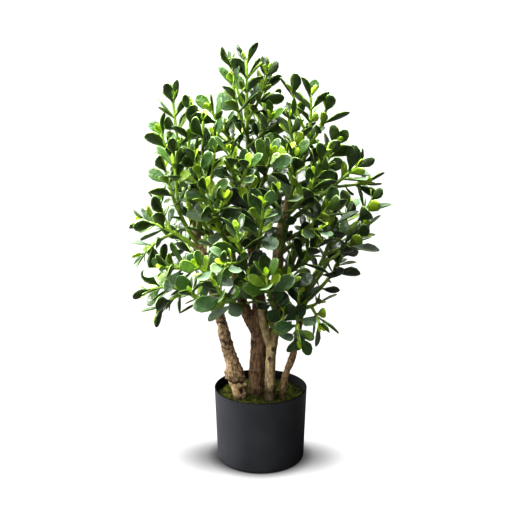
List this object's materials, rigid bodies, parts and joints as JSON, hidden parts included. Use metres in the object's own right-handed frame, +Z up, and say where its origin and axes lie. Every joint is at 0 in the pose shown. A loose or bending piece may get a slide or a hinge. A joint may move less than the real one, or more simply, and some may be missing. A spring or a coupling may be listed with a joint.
{
  "type": "potted jade bonsai tree",
  "caption": "Small jade tree with woody stems and sprays of thick oval leaves, rooted in a mossy bed in a round black pot; free-standing indoor plant.",
  "frame": {"origin": "middle of the pot's foot, on the surface that the pot stands on", "axes": "+Z up along the pot's axis and the stems; -Y is the front of the plant, +X its right side seen from the front"},
  "size_m": [0.4081, 0.323, 0.6605],
  "materials": {
    "pot_plastic": "satin",
    "soil": "matte",
    "moss": "matte",
    "bark": "matte",
    "leaf": "gloss"
  },
  "bodies": {
    "root": {"pot": "pot_plastic", "soil": "soil", "moss": "moss", "trunk_left": "bark", "trunk_centre": "bark", "trunk_front": "bark", "trunk_right": "bark", "spray_01": "leaf", "spray_02": "leaf", "spray_03": "leaf", "spray_04": "leaf", "spray_05": "leaf", "spray_06": "leaf", "spray_07": "leaf", "spray_08": "leaf", "spray_09": "leaf", "spray_10": "leaf", "spray_11": "leaf", "spray_12": "leaf", "spray_13": "leaf", "spray_14": "leaf", "spray_15": "leaf", "spray_16": "leaf", "spray_17": "leaf", "spray_18": "leaf", "spray_19": "leaf", "spray_20": "leaf", "spray_21": "leaf", "spray_22": "leaf", "spray_23": "leaf", "spray_24": "leaf", "spray_25": "leaf", "spray_26": "leaf", "spray_27": "leaf", "spray_28": "leaf", "spray_29": "leaf", "spray_30": "leaf", "spray_31": "leaf", "spray_32": "leaf", "spray_33": "leaf", "spray_34": "leaf", "spray_35": "leaf", "spray_36": "leaf", "spray_37": "leaf", "spray_38": "leaf", "spray_39": "leaf", "spray_40": "leaf", "spray_41": "leaf", "spray_42": "leaf", "spray_43": "leaf", "spray_44": "leaf", "spray_45": "leaf", "spray_46": "leaf", "spray_47": "leaf", "spray_48": "leaf", "spray_49": "leaf", "spray_50": "leaf", "spray_51": "leaf"}
  },
  "joints": []
}
